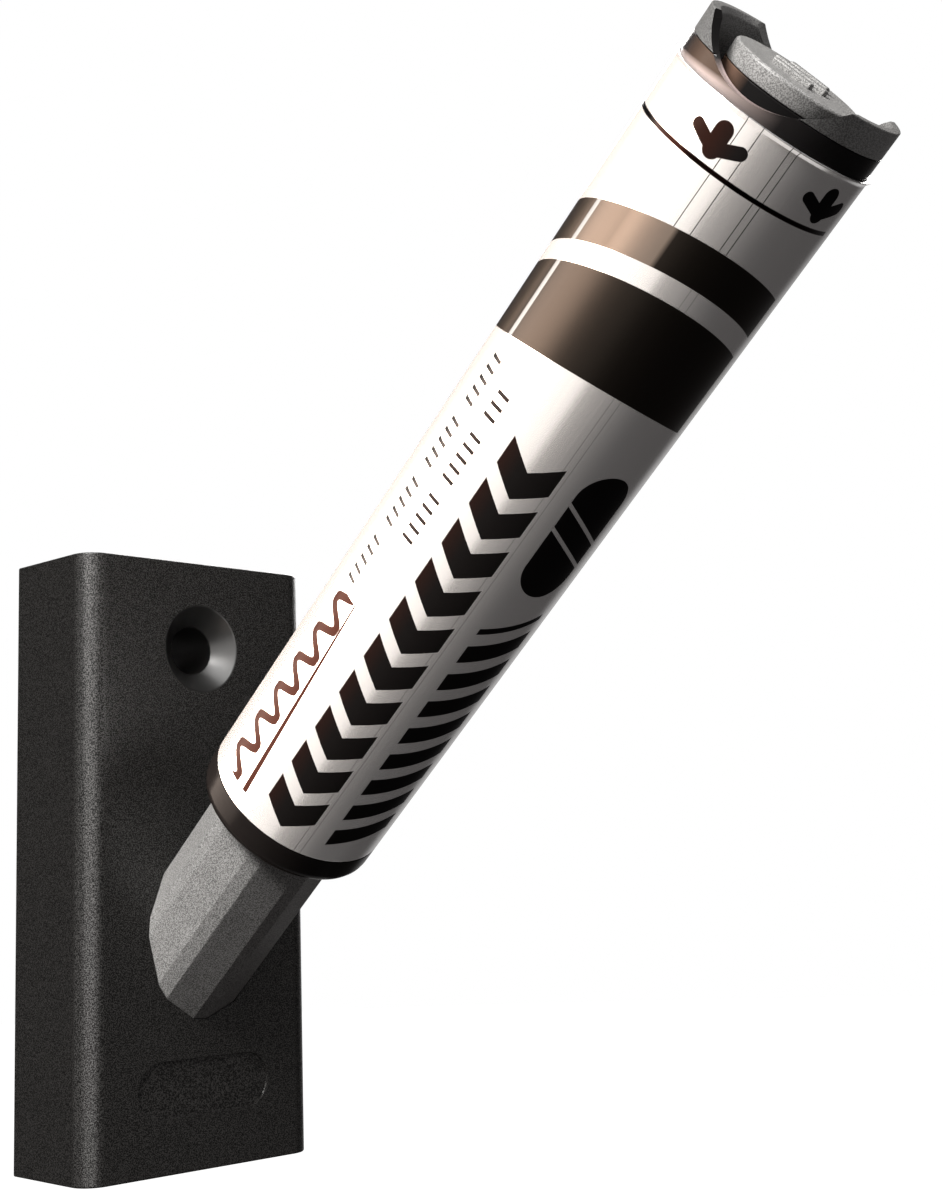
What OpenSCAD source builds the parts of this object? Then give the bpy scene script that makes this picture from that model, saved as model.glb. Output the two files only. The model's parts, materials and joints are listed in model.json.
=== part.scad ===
// Wall-mounted marker holder: a screwed-on block with a tilted socket, the marker's own cap seated
// in that socket, and a pump-action whiteboard marker standing in the cap.
//
// Millimetres, +Z up. The origin is on the axis of the screw hole, in the plane of the wall.
// The wall is the plane y = 0 and the block stands out from it towards -Y.
// The marker's own pieces are drawn along the socket's axis: station 0 is where that axis leaves
// the front of the block, and stations grow outwards, towards the marker's tail.

/* [Block] */
// Width of the block along the wall
block_w = 28; // [26:0.5:36]
// Depth of the block, out from the wall
block_d = 13; // [12.5:0.5:18]
// Height of the block
block_h = 61.5; // [60:0.5:80]
// Radius of the two upright front edges
block_edge_r = 2.5; // [1:0.1:4]
// Thickness of the side, top and bottom walls
block_wall = 2.2; // [1.6:0.1:3]
// Thickness of the front wall
block_front_t = 2.4; // [2:0.1:3]
// Thickness of the ribs in the hollow back
rib_t = 1.6; // [1:0.1:2.4]
// Width of the sunk blank plate below the socket
plate_w = 16; // [10:0.5:20]
// Height of the sunk blank plate
plate_h = 5.6; // [4:0.1:7]
// Depth of the sunk blank plate
plate_sink = 0.3; // [0.2:0.05:0.6]
// Middle of the blank plate above the block's bottom
plate_up = 8.2; // [7:0.1:9]

/* [Screw hole] */
// Diameter of the screw hole
screw_d = 5; // [3.5:0.1:5.5]
// Diameter of the countersink at the front face
screw_head_d = 9; // [7:0.1:10]
// Centre of the screw hole below the block's top
screw_edge = 9; // [8:0.5:12]
// Wall of the boss round the screw hole
boss_wall = 3; // [2.5:0.1:4]

/* [Socket] */
// Rise of the socket's axis above the horizontal, in degrees
socket_tilt = 40; // [36:1:44]
// Height from the screw hole down to where the axis leaves the block
socket_drop = 29; // [27:0.5:32]
// Wall round the socket
socket_wall = 1.6; // [1.2:0.1:2]
// Floor under the socket
socket_floor = 1.4; // [1:0.1:2]
// Clearance between the cap and the socket
socket_gap = 0.1; // [0.05:0.01:0.2]

/* [Cap] */
// Diameter of the cap over its corners
cap_d = 13.3; // [12.8:0.1:14.5]
// Number of wide flats round the cap
cap_flats = 8; // [7:1:9]
// Width of a wide flat
cap_flat_w = 3.7; // [3:0.1:4]
// Turn of the cap about its own axis, in degrees
cap_roll = 18; // [0:1:45]
// Length of the cap that stands out of the socket, on the axis
cap_stand = 17.5; // [15:0.5:22]
// Length of the cap that is in the socket, on the axis
cap_seat = 9.2; // [8:0.1:9.6]
// Diameter of the cap's bore
cap_bore_d = 10.4; // [10:0.1:10.6]
// Thickness of the cap's closed end
cap_end_t = 1.4; // [1:0.1:2]
// Bevel round the closed end
cap_bevel = 0.9; // [0.4:0.1:1.2]
// Lead-in inside the cap's mouth
cap_lead = 0.4; // [0.2:0.1:0.6]
// Length of the sealing cup inside the cap
liner_len = 10; // [8:0.5:12]
// Wall of the sealing cup
liner_wall = 1.5; // [1.2:0.1:1.7]
// Floor of the sealing cup
liner_floor = 0.8; // [0.5:0.1:1.2]

/* [Marker front] */
// Diameter of the writing nib
nib_d = 4.4; // [3.5:0.1:4.8]
// Length of nib that shows in front of the nose
nib_out = 4.5; // [3.5:0.1:5.5]
// Length of nib that is held in the nose
nib_hold = 12; // [8:0.5:14]
// Room left between the nib's tip and the sealing cup's floor
nib_room = 2; // [1:0.1:2.4]
// Bevel round the nose's front
nose_bevel = 0.6; // [0.3:0.1:0.8]
// Length of the nose's taper
taper_len = 8; // [5:0.5:10]
// Length of the plug behind the nose, in the barrel
plug_len = 23; // [20:1:30]
// Diameter of the chamber in the plug that holds the ink collector
collector_room_d = 12.4; // [11:0.1:12.6]
// Wall between the nose's bore and the collector's chamber
plug_wall = 2; // [1.5:0.1:3]
// Thickness of the sealing ring on the plug
plug_seal_t = 1.2; // [1:0.1:1.4]

/* [Ink feed] */
// Diameter of the wick
wick_d = 3; // [2.4:0.1:3.4]
// Length of wick that reaches into the ink, behind the feed plate
wick_tail = 14; // [8:0.5:18]
// Thickness of the plate that closes the ink chamber
feed_plate_t = 2.4; // [1.6:0.1:3]
// Diameter of the collector's core
collector_core_d = 5.6; // [4.8:0.1:7]
// Thickness of one collector fin
fin_t = 0.6; // [0.4:0.05:0.8]
// Step from one collector fin to the next
fin_pitch = 1.5; // [1.2:0.1:2.5]
// Diameter of the air hole in the feed plate
air_hole_d = 1; // [0.6:0.1:1.2]

/* [Barrel] */
// Diameter of the barrel over its printed film
barrel_d = 18; // [17.5:0.1:19]
// Length of the barrel tube
barrel_len = 76.7; // [70:0.1:90]
// Wall of the barrel tube
barrel_wall = 1.2; // [0.8:0.1:1.3]
// Thickness of the printed film
film_t = 0.15; // [0.1:0.01:0.3]
// Length that the film reaches past the barrel's tail end
film_over = 0.2; // [0.1:0.05:0.4]
// Height of the bead that ends the film
film_bead = 0.3; // [0.1:0.05:0.4]
// Length of that bead
film_bead_len = 0.4; // [0.2:0.05:0.6]
// Length of the front collar
collar_len = 3.2; // [2.6:0.1:4.5]
// Radius of the collar's rounded front edge
collar_round = 1.2; // [0.5:0.1:1.5]

/* [Tail] */
// Wall of the tail crown
crown_wall = 1.2; // [1.1:0.05:1.5]
// Height of the crown's two wings above the barrel's end
wing_h = 4.35; // [4:0.05:6]
// Bevel inside the tips of the wings
wing_bevel = 0.4; // [0.2:0.05:0.5]
// Height of the black band above the barrel's end
band_h = 1.95; // [1.6:0.05:2.4]
// Thickness of the black band
band_t = 0.6; // [0.4:0.05:0.7]
// Radius of the thumb scoop between the wings
scoop_r = 8.3; // [7.5:0.1:10]
// Bottom of the thumb scoop above the barrel's end
scoop_up = 0.9; // [0.7:0.1:1.4]
// Direction of the thumb scoop round the axis, in degrees
scoop_turn = 202.5; // [0:2.5:360]
// Height of the crown's floor above the barrel's end
crown_floor_up = 0.4; // [0.2:0.05:0.6]
// Thickness of the crown's floor
crown_floor_t = 1.8; // [1.4:0.1:2.4]

/* [Pump] */
// Diameter of the push button
button_d = 11.5; // [10:0.1:11.8]
// Height of the button's top above the barrel's end
button_rise = 3.35; // [3:0.05:4]
// Thickness of the grey disc on the button's black body
button_disc_t = 1.55; // [1.2:0.05:1.8]
// Diameter of the peg that holds the disc in the body
peg_d = 5; // [4:0.1:6]
// Length of that peg
peg_len = 1.2; // [0.8:0.1:1.4]
// Travel of the button
button_travel = 2.5; // [1.5:0.1:2.5]
// Bevel round the button's top
button_bevel = 0.3; // [0.2:0.1:0.8]
// Height of the raised grip bars on the button
grip_h = 0.45; // [0.2:0.05:0.6]
// Width of one grip bar
grip_w = 0.9; // [0.5:0.1:1.2]
// Step from one grip bar to the next
grip_pitch = 2; // [1.6:0.1:2.4]
// Length of the middle grip bar
grip_len = 5; // [3:0.5:6]
// Width of the ledge that keeps the button in
ledge_w = 0.8; // [0.5:0.1:0.9]
// Thickness of that ledge
ledge_t = 1.2; // [0.8:0.1:1.6]
// Length of the return spring with the button up
spring_len = 8.7; // [7.5:0.1:10]
// Floor of the pump housing
housing_floor = 2; // [1.5:0.1:3]
// Diameter of the pump cylinder
cylinder_d = 8.4; // [7.6:0.1:9]
// Length of the piston
piston_len = 2.2; // [2:0.1:3]
// Room left under the piston at the end of its travel
piston_room = 0.4; // [0.2:0.1:0.8]
// Thickness of the piston's sealing ring
piston_seal_t = 0.8; // [0.6:0.05:1]
// Diameter of the plunger's stem
stem_d = 3.6; // [3:0.1:4.4]
// Depth of the stem's socket in the button's body
stem_socket = 2.4; // [1.8:0.1:2.6]
// Wire diameter of the return spring
wire_d = 0.7; // [0.5:0.05:0.8]
// Turns of the return spring
spring_turns = 5; // [4:1:6]
// Diameter of the valve's flap
flap_d = 5.4; // [4.6:0.1:6.4]
// Thickness of the valve's flap
flap_t = 0.7; // [0.5:0.05:1]
// Diameter of the valve's neck
valve_neck_d = 1.6; // [1.2:0.1:2]
// Diameter of the knob that holds the valve in the housing's floor
valve_knob_d = 2.4; // [2.2:0.1:2.8]
// Height of that knob
valve_knob_h = 0.7; // [0.5:0.05:1]
// Diameter of one air port in the housing's floor
port_d = 0.8; // [0.5:0.05:1]
// Number of air ports
port_count = 4; // [3:1:6]

/* [Clearances] */
// Clearance between pieces that are fixed together
fit_gap = 0.05; // [0.02:0.01:0.1]
// Clearance between pieces that slide on each other
slide_gap = 0.15; // [0.08:0.01:0.2]
// Gap left between faces that rest on each other
rest_gap = 0.05; // [0.02:0.01:0.1]

/* [Hidden] */
$fn = 96;
eps = 0.01;

// Block, from the screw hole
block_top = screw_edge;
block_bottom = block_top - block_h;
boss_r = screw_d / 2 + boss_wall;
bay_w = (block_w - 2 * block_wall) / 3;
head_sink = (screw_head_d - screw_d) / 2;

// Stations along the socket's axis
cap_end = -cap_seat;
cap_mouth = cap_stand;
socket_end = cap_end - rest_gap;
collar_front = cap_mouth + rest_gap;
barrel_front = collar_front + collar_len;
barrel_end = barrel_front + barrel_len;
liner_end = cap_end + cap_end_t;
liner_mouth = liner_end + liner_len;
nib_tip = liner_end + fit_gap + liner_floor + nib_room;
nose_front = nib_tip + nib_out;
nib_back = nose_front + nib_hold;
taper_front = liner_mouth + rest_gap;
plug_end = barrel_front + plug_len;
room_front = barrel_front + plug_wall;
plate_end = plug_end + fit_gap + feed_plate_t;
wick_end = plate_end + wick_tail;
film_end = barrel_end + film_over;
wing_tip = barrel_end + wing_h;
crown_floor_top = barrel_end + crown_floor_up;
crown_floor_under = crown_floor_top - crown_floor_t;
housing_top = crown_floor_under - fit_gap;
button_top = barrel_end + button_rise;
disc_under = button_top - button_disc_t;
ledge_top = crown_floor_under - rest_gap;
ledge_under = ledge_top - ledge_t;
spring_seat = ledge_under - spring_len;
piston_top = spring_seat - slide_gap;
piston_end = piston_top - piston_len;
cylinder_end = piston_end - button_travel - piston_room - valve_knob_h - fit_gap;
housing_end = cylinder_end - housing_floor;

// Radii about the socket's axis
cap_bore_r = cap_bore_d / 2;
liner_r = cap_bore_r - fit_gap;
liner_bore_r = liner_r - liner_wall;
nose_tip_r = liner_bore_r - slide_gap;
nose_root_r = cap_bore_r - slide_gap;
nib_r = nib_d / 2;
wick_r = wick_d / 2;
barrel_r = barrel_d / 2 - film_t - fit_gap;
barrel_bore_r = barrel_r - barrel_wall;
plug_r = barrel_bore_r - fit_gap;
room_r = collector_room_d / 2;
crown_r = barrel_r;
crown_bore_r = crown_r - crown_wall;
band_bore_r = crown_r - band_t;
button_r = button_d / 2;
ledge_r = button_r + ledge_w;
spring_room_r = ledge_r + slide_gap;
cylinder_r = cylinder_d / 2;
piston_r = cylinder_r - slide_gap;
stem_r = stem_d / 2;
spring_r = (cylinder_r + spring_room_r) / 2;
valve_neck_r = valve_neck_d / 2;
port_ring_r = (valve_neck_r + flap_d / 2) / 2;

// Sealing rings sit in square grooves with a little room all round
plug_seal_mid = barrel_front + plug_wall + 2 * plug_seal_t;
plug_seal_r = plug_r - plug_seal_t / 2;
piston_seal_mid = (piston_top + piston_end) / 2;
piston_seal_r = cylinder_r - rest_gap - piston_seal_t / 2;

// Places what is drawn along +Z on the socket's axis
module on_axis() {
    translate([0, -block_d, -socket_drop]) rotate([90 - socket_tilt, 0, 0]) children();
}

// A round tube about the axis, between two stations
module tube(bore_r, outer_r, from, to) {
    rotate_extrude() translate([bore_r, from]) square([outer_r - bore_r, to - from]);
}

// A solid of revolution from a list of [radius, station]
module turned(profile) {
    rotate_extrude() polygon(profile);
}

// A ring of round section, for the seals
module seal_ring(mid_r, thickness, station) {
    rotate_extrude() translate([mid_r, station]) circle(d = thickness, $fn = 48);
}

// The groove that a seal lies in, cut from a face of radius face_r
module seal_groove(mid_r, thickness, station, face_r) {
    half = thickness / 2 + fit_gap;
    tube(mid_r - half, face_r + eps, station - half, station + half);
}

// Section of the cap: wide flats, with a narrow flat on each corner
module cap_outline(over_corners) {
    half = asin(cap_flat_w / cap_d);
    corners = [for (i = [0 : cap_flats - 1], side = [-1, 1]) cap_roll + i * 360 / cap_flats + side * half];
    polygon([for (a = corners) over_corners / 2 * [cos(a), sin(a)]]);
}

// Plan of the block, square at the wall and rounded at the two front edges
module block_plan() {
    half = block_w / 2;
    translate([-half, block_edge_r - block_d]) square([block_w, block_d - block_edge_r]);
    translate([block_edge_r - half, -block_d]) square([block_w - 2 * block_edge_r, block_d]);
    for (side = [-1, 1])
        translate([side * (half - block_edge_r), block_edge_r - block_d]) circle(block_edge_r);
}

// The boss, the socket's walls and the ribs that stand in the hollow back
module block_inner_walls() {
    rotate([90, 0, 0]) cylinder(r = boss_r, h = block_d);
    on_axis() translate([0, 0, socket_end - socket_floor])
        linear_extrude(block_d + cap_seat) cap_outline(cap_d + 2 * (socket_gap + socket_wall));
    for (side = [-1, 1])
        translate([side * bay_w / 2 - rib_t / 2, -block_d, block_bottom]) cube([rib_t, block_d, block_h]);
    translate([-block_w / 2, -block_d, -(socket_drop + rib_t) / 2]) cube([block_w, block_d, rib_t]);
}

// The hollow back of the block, open to the wall
module block_hollow() {
    difference() {
        translate([block_wall - block_w / 2, block_front_t - block_d, block_bottom + block_wall])
            cube([block_w - 2 * block_wall, block_d - block_front_t + eps, block_h - 2 * block_wall]);
        block_inner_walls();
    }
}

// The countersunk screw hole, along Y
module screw_hole() {
    rotate([90, 0, 0]) {
        translate([0, 0, -1]) cylinder(d = screw_d, h = block_d + 2);
        translate([0, 0, block_d - head_sink])
            cylinder(d1 = screw_d, d2 = screw_head_d + 2 * eps, h = head_sink + eps);
    }
}

// The socket that the cap is pushed into
module socket() {
    on_axis() translate([0, 0, socket_end])
        linear_extrude(block_d + cap_seat) cap_outline(cap_d + 2 * socket_gap);
}

// A blank plate with round ends, sunk into the front face
module blank_plate() {
    end_r = plate_h / 2;
    translate([0, plate_sink - block_d, block_bottom + plate_up]) rotate([90, 0, 0]) {
        translate([end_r - plate_w / 2, -end_r, 0]) cube([plate_w - plate_h, plate_h, plate_sink + 1]);
        for (side = [-1, 1])
            translate([side * (plate_w / 2 - end_r), 0, 0]) cylinder(r = end_r, h = plate_sink + 1);
    }
}

module holder_block() {
    color("#262422") difference() {
        translate([0, 0, block_bottom]) linear_extrude(block_h) block_plan();
        block_hollow();
        screw_hole();
        socket();
        blank_plate();
    }
}

// The cap: flats all round, a bevelled closed end and a plain bore
module cap_shell() {
    color("#a3a29f") on_axis() difference() {
        intersection() {
            translate([0, 0, cap_end]) linear_extrude(cap_mouth - cap_end) cap_outline(cap_d);
            turned([[0, cap_end], [cap_d / 2 - cap_bevel, cap_end], [cap_d / 2, cap_end + cap_bevel],
                    [cap_d / 2, cap_mouth], [0, cap_mouth]]);
        }
        turned([[0, liner_end], [cap_bore_r, liner_end], [cap_bore_r, cap_mouth - cap_lead],
                [cap_bore_r + cap_lead, cap_mouth + eps], [0, cap_mouth + eps]]);
    }
}

// The soft cup that closes over the nose and keeps the nib wet
module cap_liner() {
    bottom = liner_end + fit_gap;
    color("#d8d6cf") on_axis()
        turned([[0, bottom], [liner_r, bottom], [liner_r, liner_mouth], [liner_bore_r, liner_mouth],
                [liner_bore_r, bottom + liner_floor], [0, bottom + liner_floor]]);
}

// A bullet nib: a rod with a round tip
module nib() {
    color("#1d1c1f") on_axis() {
        translate([0, 0, nib_tip + nib_r]) sphere(nib_r);
        translate([0, 0, nib_tip + nib_r]) cylinder(r = nib_r, h = nib_back - nib_tip - nib_r);
    }
}

// The nose and the plug behind it, bored for the nib, the wick and the collector
module nose_section() {
    bore_r = nib_r + fit_gap;
    wick_bore_r = wick_r + fit_gap;
    color("#dcdad4") on_axis() difference() {
        turned([[bore_r, nose_front], [nose_tip_r - nose_bevel, nose_front],
                [nose_tip_r, nose_front + nose_bevel], [nose_tip_r, taper_front],
                [nose_root_r, taper_front + taper_len], [nose_root_r, barrel_front],
                [plug_r, barrel_front], [plug_r, plug_end], [room_r, plug_end], [room_r, room_front],
                [wick_bore_r, room_front], [wick_bore_r, nib_back], [bore_r, nib_back]]);
        seal_groove(plug_seal_r, plug_seal_t, plug_seal_mid, plug_r);
    }
}

module plug_seal() {
    color("#2b2b2d") on_axis() seal_ring(plug_seal_r, plug_seal_t, plug_seal_mid);
}

// The black collar that closes the barrel's front, with a rounded outer edge
module front_collar() {
    hole_r = nose_root_r + fit_gap;
    outer_r = barrel_d / 2;
    color("#161416") on_axis() rotate_extrude() {
        translate([hole_r, collar_front]) square([outer_r - collar_round - hole_r, collar_len]);
        translate([hole_r, collar_front + collar_round])
            square([outer_r - hole_r, collar_len - collar_round]);
        translate([outer_r - collar_round, collar_front + collar_round]) circle(collar_round);
    }
}

module feed_wick() {
    color("#38363b") on_axis() translate([0, 0, nib_back + fit_gap])
        cylinder(r = wick_r, h = wick_end - nib_back - fit_gap);
}

// The comb of thin fins that takes up surplus ink
module ink_collector() {
    front = room_front + fit_gap;
    back = plug_end - fit_gap;
    bore_r = wick_r + fit_gap;
    core_r = collector_core_d / 2;
    fin_r = room_r - fit_gap;
    fins = floor((back - front - fin_t) / fin_pitch);
    comb = [for (i = [0 : fins]) let (a = front + i * fin_pitch)
            each [[core_r, a], [fin_r, a], [fin_r, a + fin_t], [core_r, a + fin_t]]];
    color("#e6e4de") on_axis()
        turned(concat([[bore_r, front]], comb, [[core_r, back], [bore_r, back]]));
}

// The plate between the collector and the ink, with the wick's hole and an air hole
module feed_plate() {
    from = plug_end + fit_gap;
    air_at = (wick_r + plug_r) / 2;
    color("#c9c7c1") on_axis() difference() {
        tube(wick_r + fit_gap, plug_r, from, plate_end);
        translate([air_at, 0, from - 1]) cylinder(d = air_hole_d, h = feed_plate_t + 2);
    }
}

module barrel_tube() {
    color("#e9e7e3") on_axis() tube(barrel_bore_r, barrel_r, barrel_front + rest_gap, barrel_end);
}

// The printed film round the barrel, ended by a small bead at the tail
module label_film() {
    bore_r = barrel_r + fit_gap;
    outer_r = barrel_d / 2;
    front = barrel_front + rest_gap;
    color("#f4f2ee") on_axis()
        turned([[bore_r, front], [outer_r, front], [outer_r, film_end - film_bead_len],
                [outer_r + film_bead, film_end], [bore_r, film_end]]);
}

// The cup under the button: spring room above, pump cylinder below, air ports in its floor
module pump_housing() {
    color("#d3d1cb") on_axis() difference() {
        turned([[0, housing_end], [plug_r, housing_end], [plug_r, housing_top],
                [spring_room_r, housing_top], [spring_room_r, spring_seat], [cylinder_r, spring_seat],
                [cylinder_r, cylinder_end], [0, cylinder_end]]);
        translate([0, 0, housing_end - 1]) cylinder(r = valve_neck_r + fit_gap, h = housing_floor + 2);
        for (i = [0 : port_count - 1])
            rotate(i * 360 / port_count) translate([port_ring_r, 0, housing_end - 1])
                cylinder(d = port_d, h = housing_floor + 2);
    }
}

// The rubber flap valve under the housing's floor, held by the knob on its neck
module check_valve() {
    under = housing_end - fit_gap;
    over = cylinder_end + fit_gap;
    knob_top = over + valve_knob_h;
    color("#4a3b32") on_axis()
        turned([[0, under - flap_t], [flap_d / 2, under - flap_t], [flap_d / 2, under],
                [valve_neck_r, under], [valve_neck_r, over],
                [valve_knob_d / 2, over], [valve_neck_r, knob_top], [0, knob_top]]);
}

// The return spring: one round wire swept along an even helix
module return_spring() {
    rings_per_turn = 12;
    sides = 6;
    wire_r = wire_d / 2;
    rings = spring_turns * rings_per_turn;
    from = spring_seat + wire_r + rest_gap;
    rise = ledge_under - spring_seat - wire_d - 2 * rest_gap;
    points = [for (i = [0 : rings], k = [0 : sides - 1])
        let (a = 360 * i / rings_per_turn, w = 360 * k / sides, r = spring_r + wire_r * cos(w))
        [r * cos(a), r * sin(a), from + rise * i / rings + wire_r * sin(w)]];
    walls = [for (i = [0 : rings - 1], k = [0 : sides - 1])
        let (a = i * sides + k, b = i * sides + (k + 1) % sides)
        each [[a, b, b + sides], [a, b + sides, a + sides]]];
    first_end = [for (k = [sides - 1 : -1 : 0]) k];
    last_end = [for (k = [0 : sides - 1]) rings * sides + k];
    color("#b9bcc0") on_axis() polyhedron(points, concat(walls, [first_end, last_end]));
}

// The thumb scoop: one round cut right across the tail
module thumb_scoop() {
    translate([0, 0, barrel_end + scoop_up + scoop_r]) rotate([0, 0, scoop_turn]) rotate([0, 90, 0])
        cylinder(r = scoop_r, h = 4 * crown_r, center = true);
}

// The tail crown: a floor round the button and two wings that guard it
module tail_crown() {
    hole_r = button_r + slide_gap;
    band_top = barrel_end + band_h + fit_gap;
    seat = barrel_end + rest_gap;
    neck_r = band_bore_r - fit_gap;
    color("#56575a") on_axis() difference() {
        turned([[hole_r, crown_floor_under], [plug_r, crown_floor_under], [plug_r, seat], [neck_r, seat],
                [neck_r, band_top], [crown_r, band_top], [crown_r, wing_tip],
                [crown_bore_r + wing_bevel, wing_tip], [crown_bore_r, wing_tip - wing_bevel],
                [crown_bore_r, crown_floor_top], [hole_r, crown_floor_top]]);
        thumb_scoop();
    }
}

module tail_band() {
    color("#141214") on_axis() difference() {
        tube(band_bore_r, crown_r, barrel_end + rest_gap, barrel_end + band_h);
        thumb_scoop();
    }
}

// The push button: a bevelled disc with grip bars on top and a peg below
module push_button() {
    color("#9b9a97") on_axis() {
        turned([[0, disc_under - peg_len], [peg_d / 2, disc_under - peg_len], [peg_d / 2, disc_under],
                [button_r, disc_under], [button_r, button_top - button_bevel],
                [button_r - button_bevel, button_top], [0, button_top]]);
        rotate([0, 0, scoop_turn]) for (i = [-1 : 1])
            translate([i * grip_pitch, 0, button_top + grip_h / 2 - eps])
                cube([grip_w, grip_len * (1 - abs(i) / 4), grip_h + 2 * eps], center = true);
    }
}

// The button's black body: it carries the disc, and its ledge keeps it under the crown's floor
module button_body() {
    top = disc_under - fit_gap;
    peg_bore_r = peg_d / 2 + fit_gap;
    peg_floor = disc_under - peg_len - fit_gap;
    stem_bore_r = stem_r + fit_gap;
    stem_ceiling = ledge_under + stem_socket;
    color("#151313") on_axis() turned([
        [0, stem_ceiling], [stem_bore_r, stem_ceiling], [stem_bore_r, ledge_under], [ledge_r, ledge_under],
        [ledge_r, ledge_top], [button_r, ledge_top], [button_r, top], [peg_bore_r, top],
        [peg_bore_r, peg_floor], [0, peg_floor]]);
}

// The plunger: a stem in the button's body and a piston in the pump cylinder
module plunger() {
    stem_top = ledge_under + stem_socket - fit_gap;
    color("#cfcdc7") on_axis() difference() {
        turned([[0, piston_end], [piston_r, piston_end], [piston_r, piston_top], [stem_r, piston_top],
                [stem_r, stem_top], [0, stem_top]]);
        seal_groove(piston_seal_r, piston_seal_t, piston_seal_mid, piston_r);
    }
}

module piston_seal() {
    color("#2b2b2d") on_axis() seal_ring(piston_seal_r, piston_seal_t, piston_seal_mid);
}

holder_block();
cap_shell();
cap_liner();
nib();
nose_section();
plug_seal();
front_collar();
feed_wick();
ink_collector();
feed_plate();
barrel_tube();
label_film();
pump_housing();
check_valve();
return_spring();
tail_crown();
tail_band();
push_button();
button_body();
plunger();
piston_seal();
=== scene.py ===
# %% [markdown]
# # A marker holder, dressed for its portrait
# A small black block is screwed to a wall. The grey cap of a whiteboard marker is pushed into a slanted
# socket in the block's front, and the marker stands in its cap with its push button up. The frame that is
# loaded here has every piece at its real size and place. This lesson gives the pieces that show a finer
# mesh and all of them a finish, and it never moves or resizes what the frame says.

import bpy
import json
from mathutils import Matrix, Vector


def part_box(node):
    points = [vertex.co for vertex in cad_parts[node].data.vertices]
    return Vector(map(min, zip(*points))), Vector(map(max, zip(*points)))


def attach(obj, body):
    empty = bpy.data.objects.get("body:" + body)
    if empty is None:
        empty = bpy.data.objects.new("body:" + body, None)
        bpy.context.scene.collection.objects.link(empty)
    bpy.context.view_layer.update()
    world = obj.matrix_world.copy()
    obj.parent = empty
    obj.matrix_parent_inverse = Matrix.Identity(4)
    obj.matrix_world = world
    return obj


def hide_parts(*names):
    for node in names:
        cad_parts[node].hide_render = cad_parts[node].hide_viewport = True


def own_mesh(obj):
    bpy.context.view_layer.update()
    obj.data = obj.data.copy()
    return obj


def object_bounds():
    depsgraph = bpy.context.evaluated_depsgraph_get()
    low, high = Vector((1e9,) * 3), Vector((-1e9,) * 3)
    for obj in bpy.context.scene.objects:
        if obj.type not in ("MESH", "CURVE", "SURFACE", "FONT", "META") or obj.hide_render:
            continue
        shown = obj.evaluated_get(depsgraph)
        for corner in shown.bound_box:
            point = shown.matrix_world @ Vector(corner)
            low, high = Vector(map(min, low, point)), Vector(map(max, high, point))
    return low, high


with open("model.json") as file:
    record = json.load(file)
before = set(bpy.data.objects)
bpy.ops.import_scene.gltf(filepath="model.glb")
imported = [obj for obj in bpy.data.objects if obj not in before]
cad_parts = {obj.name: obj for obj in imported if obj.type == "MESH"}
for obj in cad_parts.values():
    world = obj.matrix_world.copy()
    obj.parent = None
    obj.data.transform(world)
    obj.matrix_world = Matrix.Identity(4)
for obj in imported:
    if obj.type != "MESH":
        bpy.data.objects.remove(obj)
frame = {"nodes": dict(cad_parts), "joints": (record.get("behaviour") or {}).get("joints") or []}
cad_box = [list(corner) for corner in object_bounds()]

import json
from math import asin, cos, pi, radians, sin, tan

import bmesh
import bpy
from mathutils import Euler, Matrix, Vector

scene = bpy.context.scene
MM = 0.001
print("CAD box in mm:", [[round(value / MM, 2) for value in corner] for corner in cad_box])

# %% [markdown]
# ## The camera
# The photographed view looks up at the holder from its left, a little below its middle. A camera can be
# placed by eye, but eight corners of the block and the two ends of the barrel are enough to solve for it,
# so its place, its three turns and its focal length are written down here as plain numbers. The focal
# length was found in pixels of the 943 by 1200 picture, and Blender wants millimetres on a 36 mm sensor.

# %% Camera
PICTURE_HEIGHT_PX = 1200
FOCAL_PX = 1747.3
SENSOR_MM = 36
CAMERA_PLACE = Vector((-0.10827, -0.16104, -0.02302))
CAMERA_YAW = radians(45.059)
CAMERA_PITCH = radians(8.573)
CAMERA_ROLL = radians(-1.732)

camera_data = bpy.data.cameras.new("camera")
camera_data.sensor_width = SENSOR_MM
camera_data.lens = FOCAL_PX / PICTURE_HEIGHT_PX * SENSOR_MM
camera_data.clip_start = 0.01
camera = bpy.data.objects.new("camera", camera_data)
level = Euler((pi / 2 + CAMERA_PITCH, 0, -CAMERA_YAW)).to_matrix().to_4x4()
camera.matrix_world = Matrix.Translation(CAMERA_PLACE) @ level @ Matrix.Rotation(CAMERA_ROLL, 4, "Z")
scene.collection.objects.link(camera)
scene.camera = camera
print("Camera lens:", round(camera_data.lens, 2), "mm")

# %% [markdown]
# ## The marker's own axis
# Nearly every piece of a marker is turned, so it is easiest to draw it as a profile of radius and station
# along one axis, and to tilt the result into place at the end. The axis comes from the frame: its direction
# is the way the marker pulls out, and it runs through the middle of the barrel tube. Station 0 is where it
# leaves the front of the block. All drawing is in millimetres and is scaled to metres last.

# %% Axis and measures
joints = {joint["name"]: joint for joint in frame["joints"]}
AXIS = Vector(joints["marker_pull"]["axis"]).normalized()
SIDE = Vector((1, 0, 0))
OVER = AXIS.cross(SIDE)

block_low, block_high = [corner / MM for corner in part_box("holder_block")]
tube_low, tube_high = [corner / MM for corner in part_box("barrel_tube")]
tube_mid = (tube_low + tube_high) / 2
SOCKET = tube_mid + AXIS * ((block_low.y - tube_mid.y) / AXIS.y)
ON_AXIS = Matrix.Translation(SOCKET) @ Matrix((SIDE, OVER, AXIS)).transposed().to_4x4()


def reach(node):
    """First station, last station and widest radius of a CAD node about the axis, in millimetres."""
    back = ON_AXIS.inverted()
    places = [back @ (vertex.co / MM) for vertex in frame["nodes"][node].data.vertices]
    stations = [place.z for place in places]
    return min(stations), max(stations), max(place.xy.length for place in places)


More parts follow.
